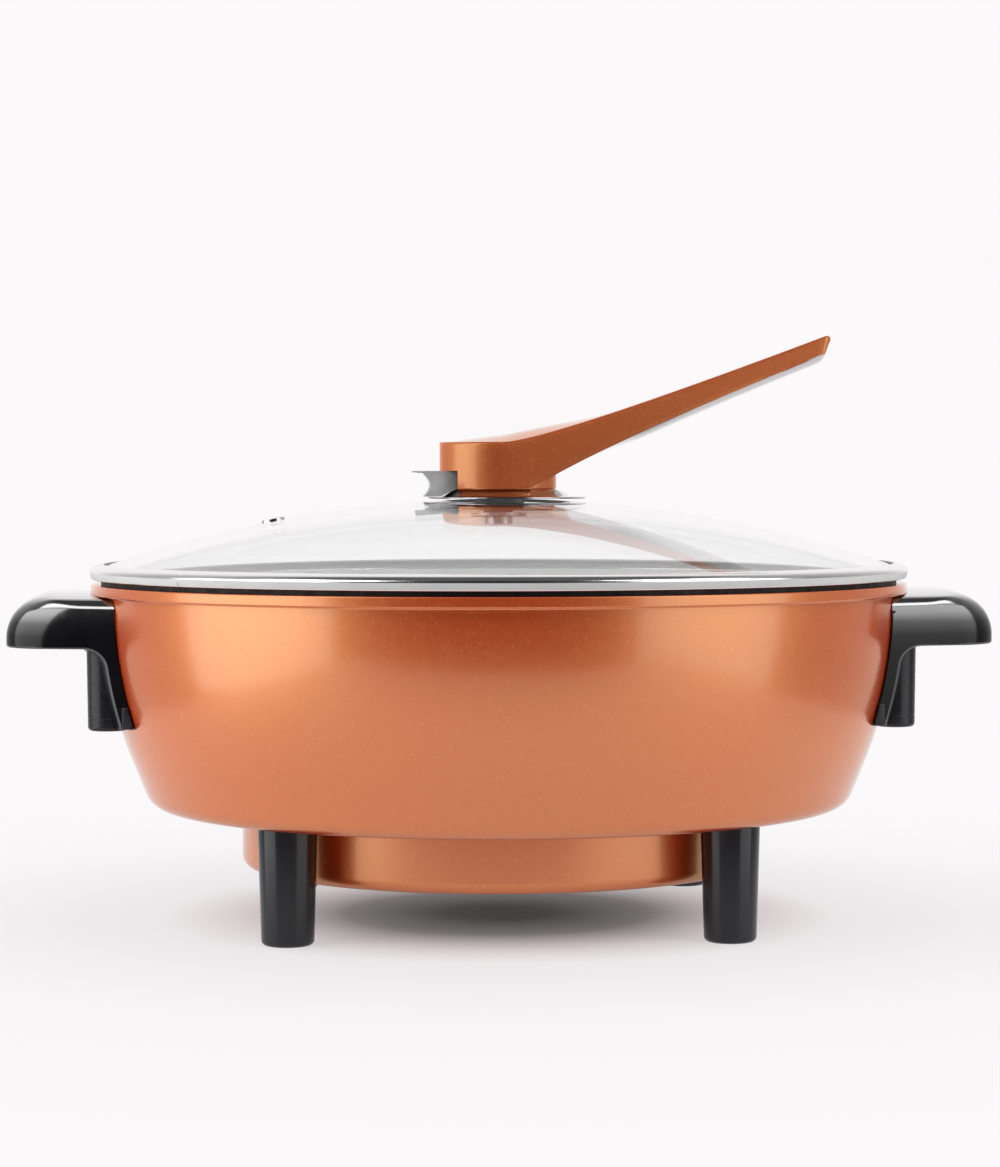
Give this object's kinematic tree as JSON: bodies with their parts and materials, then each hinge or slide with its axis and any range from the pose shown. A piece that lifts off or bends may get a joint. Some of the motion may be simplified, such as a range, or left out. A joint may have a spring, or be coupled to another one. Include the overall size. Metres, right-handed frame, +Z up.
{
  "type": "electric skillet",
  "caption": "Deep round electric skillet on four legs, with two side handles, a rear power socket and a domed glass lid that lifts off by a slanted lever handle.",
  "frame": {"origin": "on the table under the pan's axis, which is the middle of the overall box's underside", "axes": "+X towards the right-hand handle and along the lid's lever, +Y towards the power socket at the back, +Z up"},
  "size_m": [0.3794, 0.32, 0.2279],
  "materials": {
    "copper_pan": "copper-coloured metallic paint on cast aluminium",
    "copper_base": "copper-coloured metallic paint on sheet steel",
    "copper_plastic": "copper-coloured metallic paint on plastic",
    "black_plastic": "gloss",
    "steel": "brushed",
    "polished_steel": "polished",
    "aluminium": "satin",
    "brass": "satin",
    "ceramic": "matte",
    "clear_glass": "clear",
    "grey_silicone": "matte"
  },
  "bodies": {
    "cooker": {"pan": "copper_pan", "heater_plate": "aluminium", "heating_element": "steel", "terminal_beads": "ceramic", "line_pin": "brass", "neutral_pin": "brass", "probe_tube": "steel", "earth_contact": "brass", "earth_screw": "steel", "heat_reflector": "aluminium", "spacer_sleeves": "steel", "base_housing": "copper_base", "bottom_cover": "steel", "cover_screws": "steel", "inlet_housing": "black_plastic", "inlet_screws": "steel", "leg_front_left": "black_plastic", "leg_front_right": "black_plastic", "leg_rear_left": "black_plastic", "leg_rear_right": "black_plastic", "leg_screws": "steel", "left_handle": "black_plastic", "right_handle": "black_plastic", "handle_screws": "steel"},
    "lid": {"lid_glass": "clear_glass", "lid_rim": "polished_steel", "lid_seal": "grey_silicone", "steam_vent": "polished_steel", "glass_gasket": "grey_silicone", "lid_washer": "polished_steel", "under_washer": "steel", "lid_screw": "steel", "ladle_clip": "polished_steel", "lid_handle": "copper_plastic"}
  },
  "joints": [
    {"name": "lid_lift", "type": "slide", "parent": "cooker", "child": "lid", "axis": [0, 0, 1], "range_m": [0, 0.25]}
  ]
}
